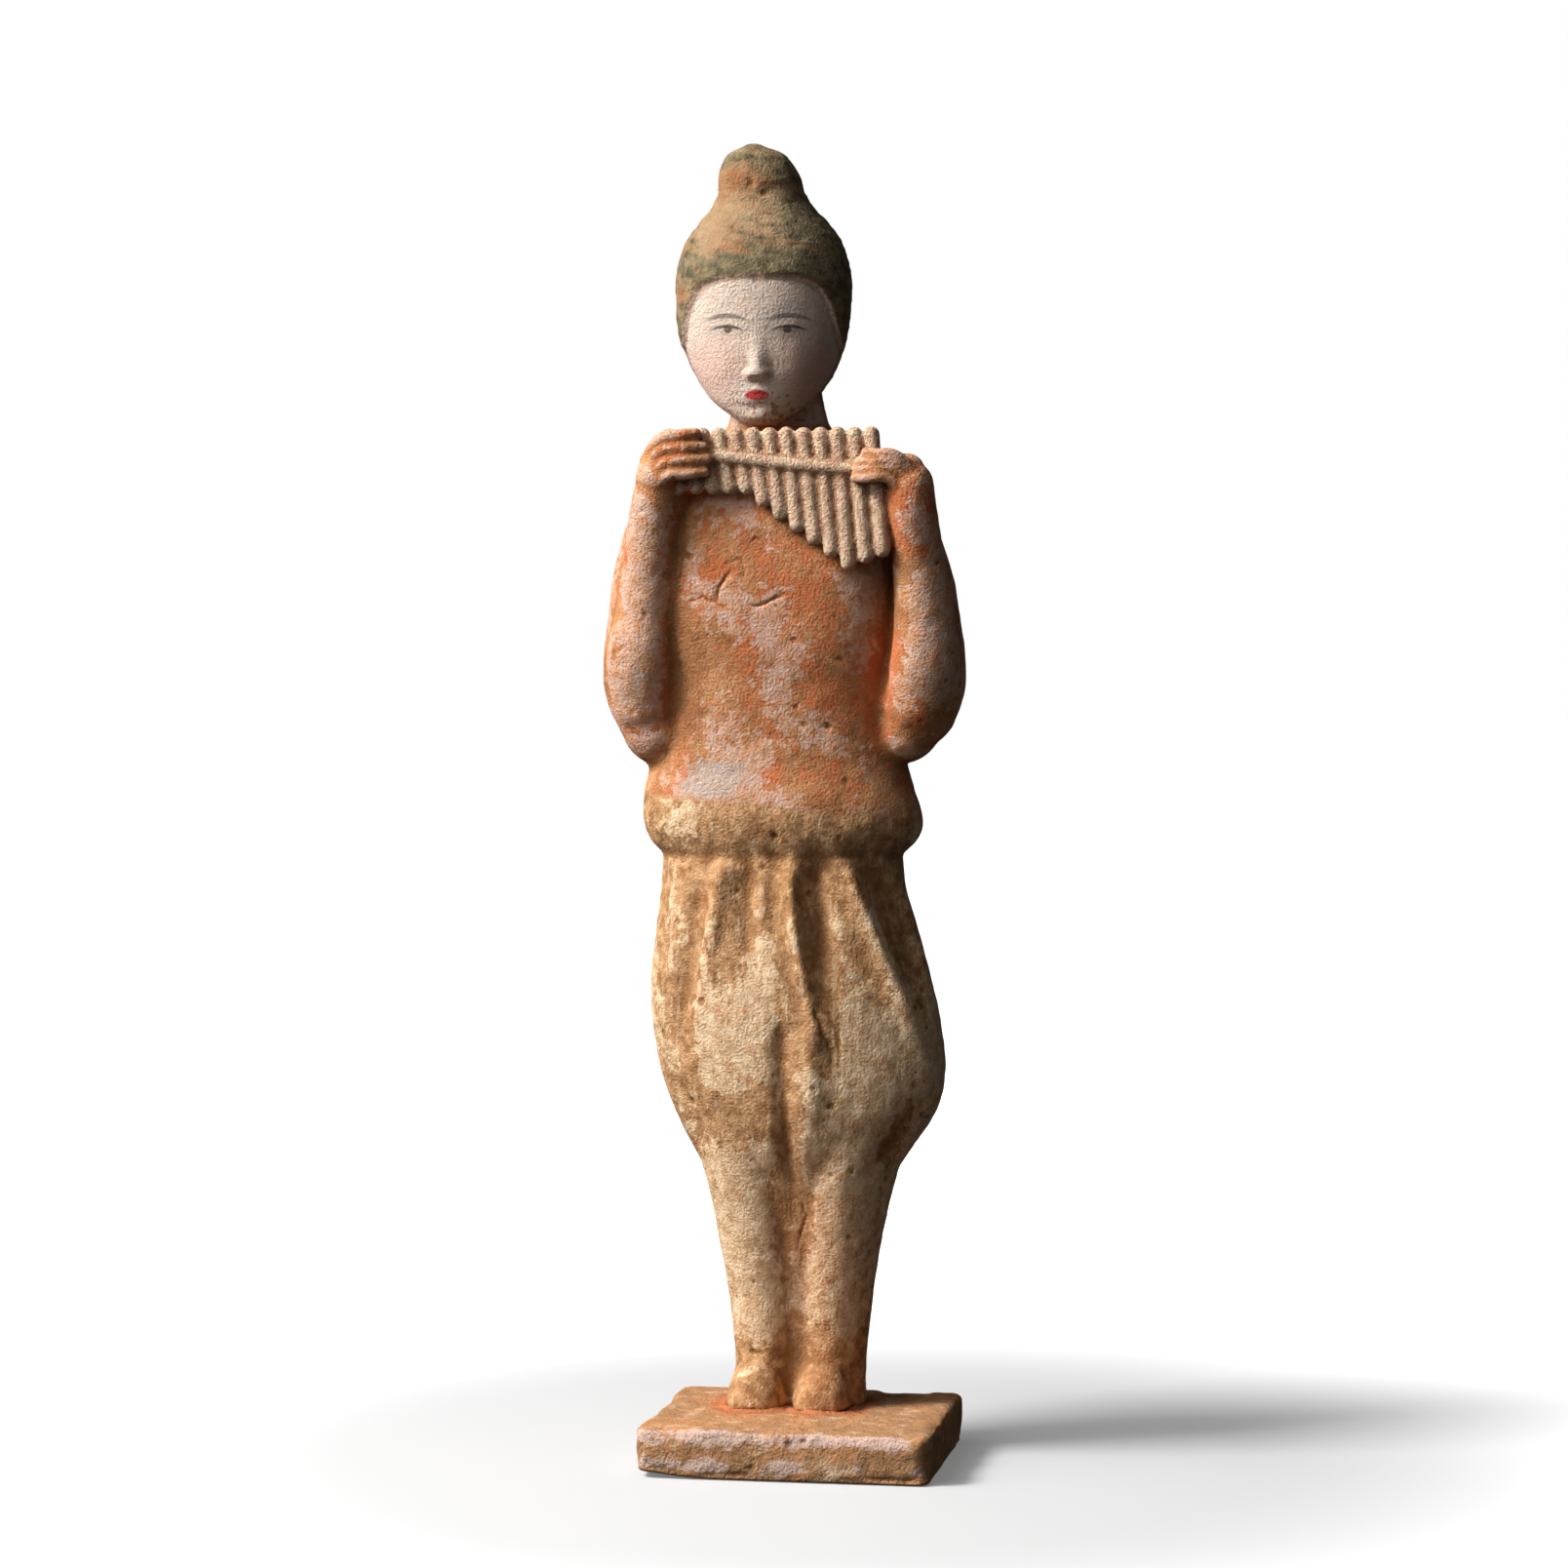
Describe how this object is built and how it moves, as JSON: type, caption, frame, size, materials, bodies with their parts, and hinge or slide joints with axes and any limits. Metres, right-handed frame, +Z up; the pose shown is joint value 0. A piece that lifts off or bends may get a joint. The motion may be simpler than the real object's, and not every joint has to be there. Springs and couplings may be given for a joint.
{
  "type": "tomb musician figure",
  "caption": "Standing earthenware tomb musician with a top knot, baggy trousers and panpipes held to the chin, luted to a square slab.",
  "frame": {"origin": "middle of the slab's underside, on the surface that the figure stands on", "axes": "+Z up along the standing figure, -Y the way the figure faces, +X the viewer's right"},
  "size_m": [0.0774, 0.0558, 0.2765],
  "materials": {
    "painted_earthenware": "matte",
    "bare_earthenware": "matte"
  },
  "bodies": {
    "root": {"musician_figure": "painted_earthenware", "plinth": "bare_earthenware"}
  },
  "joints": []
}
